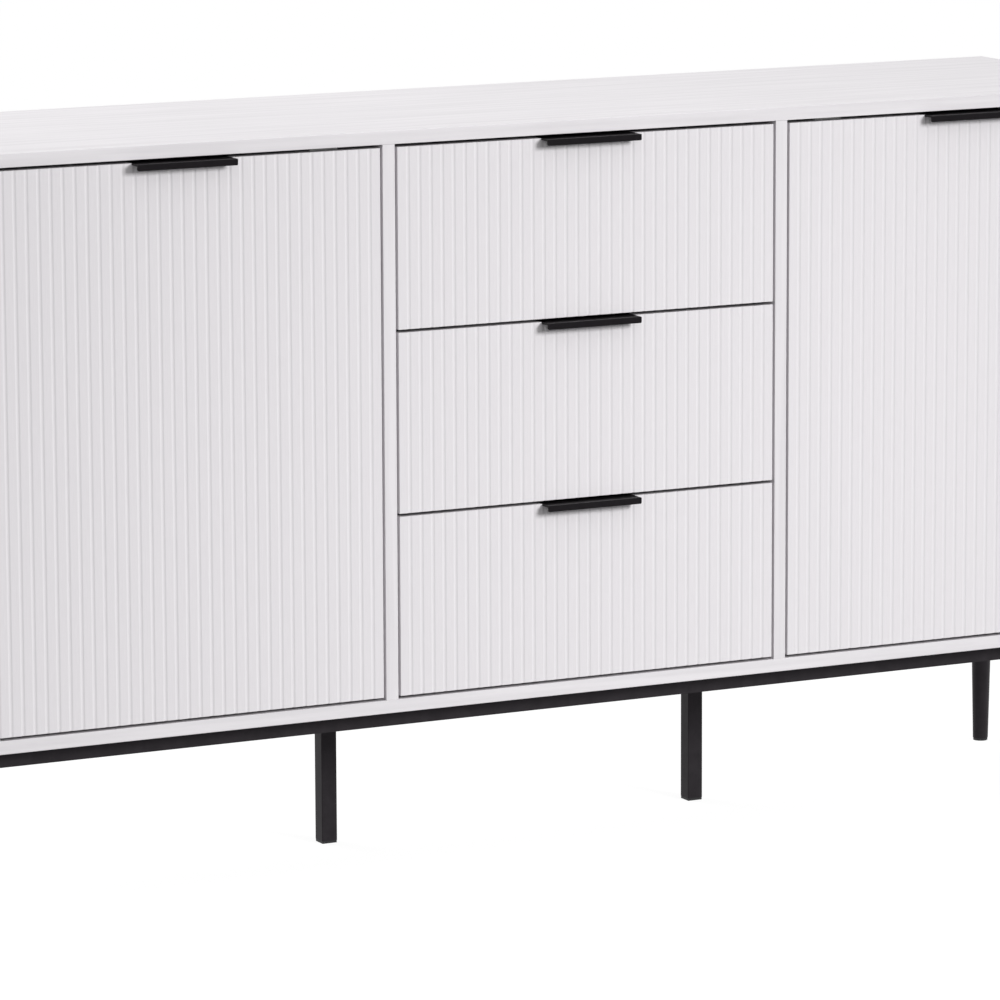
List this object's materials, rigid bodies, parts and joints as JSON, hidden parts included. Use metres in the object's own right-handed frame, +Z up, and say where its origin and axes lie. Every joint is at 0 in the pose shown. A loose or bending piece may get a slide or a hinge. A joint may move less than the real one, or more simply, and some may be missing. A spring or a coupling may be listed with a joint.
{
  "type": "sideboard",
  "caption": "Long white sideboard with ribbed hinged doors either side of a bank of ribbed drawers, thin black edge pulls and a slim black steel base on legs.",
  "frame": {"origin": "on the floor, under the middle of the overall box from handle lips to back edge", "axes": "+X to the right along the length, +Y from the front to the back, +Z up"},
  "size_m": [1.5, 0.406, 0.84],
  "materials": {
    "white_lacquer": "satin white lacquer on board",
    "white_front": "satin white lacquer on ribbed fibreboard",
    "drawer_board": "white melamine foil",
    "back_board": "white faced hardboard",
    "black_steel": "matt black powder coat",
    "black_handle": "satin black stove enamel",
    "zinc_steel": "bright zinc plate",
    "black_plastic": "moulded black",
    "white_plastic": "moulded white nylon",
    "dowel_wood": "raw beech"
  },
  "bodies": {
    "carcass": {"top_panel": "white_lacquer", "bottom_panel": "white_lacquer", "left_side_panel": "white_lacquer", "right_side_panel": "white_lacquer", "left_divider": "white_lacquer", "right_divider": "white_lacquer", "back_panel": "back_board", "left_shelf": "white_lacquer", "right_shelf": "white_lacquer", "shelf_pins": "zinc_steel", "panel_dowels": "dowel_wood", "carcass_screws": "zinc_steel", "front_rail": "black_steel", "back_rail": "black_steel", "end_rails": "black_steel", "cross_rails": "black_steel", "front_left_leg": "black_steel", "front_right_leg": "black_steel", "back_left_leg": "black_steel", "back_right_leg": "black_steel", "left_support_leg": "black_steel", "right_support_leg": "black_steel", "leg_pads": "black_plastic", "pivot_bushes": "white_plastic", "door_catches": "white_plastic", "cabinet_runners": "zinc_steel"},
    "left_door": {"left_door": "white_front", "left_door_handle": "black_handle", "left_door_handle_screws": "zinc_steel", "left_door_pivot_pins": "zinc_steel", "left_door_strike": "zinc_steel"},
    "right_door": {"right_door": "white_front", "right_door_handle": "black_handle", "right_door_handle_screws": "zinc_steel", "right_door_pivot_pins": "zinc_steel", "right_door_strike": "zinc_steel"},
    "lower_drawer": {"lower_drawer_front": "white_front", "lower_drawer_sides": "drawer_board", "lower_drawer_back": "drawer_board", "lower_drawer_bottom": "drawer_board", "lower_drawer_handle": "black_handle", "lower_drawer_fasteners": "zinc_steel", "lower_drawer_runners": "zinc_steel"},
    "lower_runners": {"lower_intermediate_runners": "zinc_steel"},
    "middle_drawer": {"middle_drawer_front": "white_front", "middle_drawer_sides": "drawer_board", "middle_drawer_back": "drawer_board", "middle_drawer_bottom": "drawer_board", "middle_drawer_handle": "black_handle", "middle_drawer_fasteners": "zinc_steel", "middle_drawer_runners": "zinc_steel"},
    "middle_runners": {"middle_intermediate_runners": "zinc_steel"},
    "upper_drawer": {"upper_drawer_front": "white_front", "upper_drawer_sides": "drawer_board", "upper_drawer_back": "drawer_board", "upper_drawer_bottom": "drawer_board", "upper_drawer_handle": "black_handle", "upper_drawer_fasteners": "zinc_steel", "upper_drawer_runners": "zinc_steel"},
    "upper_runners": {"upper_intermediate_runners": "zinc_steel"}
  },
  "joints": [
    {"name": "left_door_swing", "type": "hinge", "parent": "carcass", "child": "left_door", "pos_m": [-0.722, -0.18, 0.514], "axis": [0, 0, -1], "range_deg": [0, 110]},
    {"name": "right_door_swing", "type": "hinge", "parent": "carcass", "child": "right_door", "pos_m": [0.722, -0.18, 0.514], "axis": [0, 0, 1], "range_deg": [0, 110]},
    {"name": "lower_drawer_slide", "type": "slide", "parent": "carcass", "child": "lower_drawer", "axis": [0, -1, 0], "range_m": [0, 0.3]},
    {"name": "lower_runner_slide", "type": "slide", "parent": "carcass", "child": "lower_runners", "axis": [0, -1, 0], "range_m": [0, 0.15]},
    {"name": "middle_drawer_slide", "type": "slide", "parent": "carcass", "child": "middle_drawer", "axis": [0, -1, 0], "range_m": [0, 0.3]},
    {"name": "middle_runner_slide", "type": "slide", "parent": "carcass", "child": "middle_runners", "axis": [0, -1, 0], "range_m": [0, 0.15]},
    {"name": "upper_drawer_slide", "type": "slide", "parent": "carcass", "child": "upper_drawer", "axis": [0, -1, 0], "range_m": [0, 0.3]},
    {"name": "upper_runner_slide", "type": "slide", "parent": "carcass", "child": "upper_runners", "axis": [0, -1, 0], "range_m": [0, 0.15]}
  ],
  "couplings": [
    {"joint": "lower_runner_slide", "follows": "lower_drawer_slide", "ratio": 0.5},
    {"joint": "middle_runner_slide", "follows": "middle_drawer_slide", "ratio": 0.5},
    {"joint": "upper_runner_slide", "follows": "upper_drawer_slide", "ratio": 0.5}
  ]
}
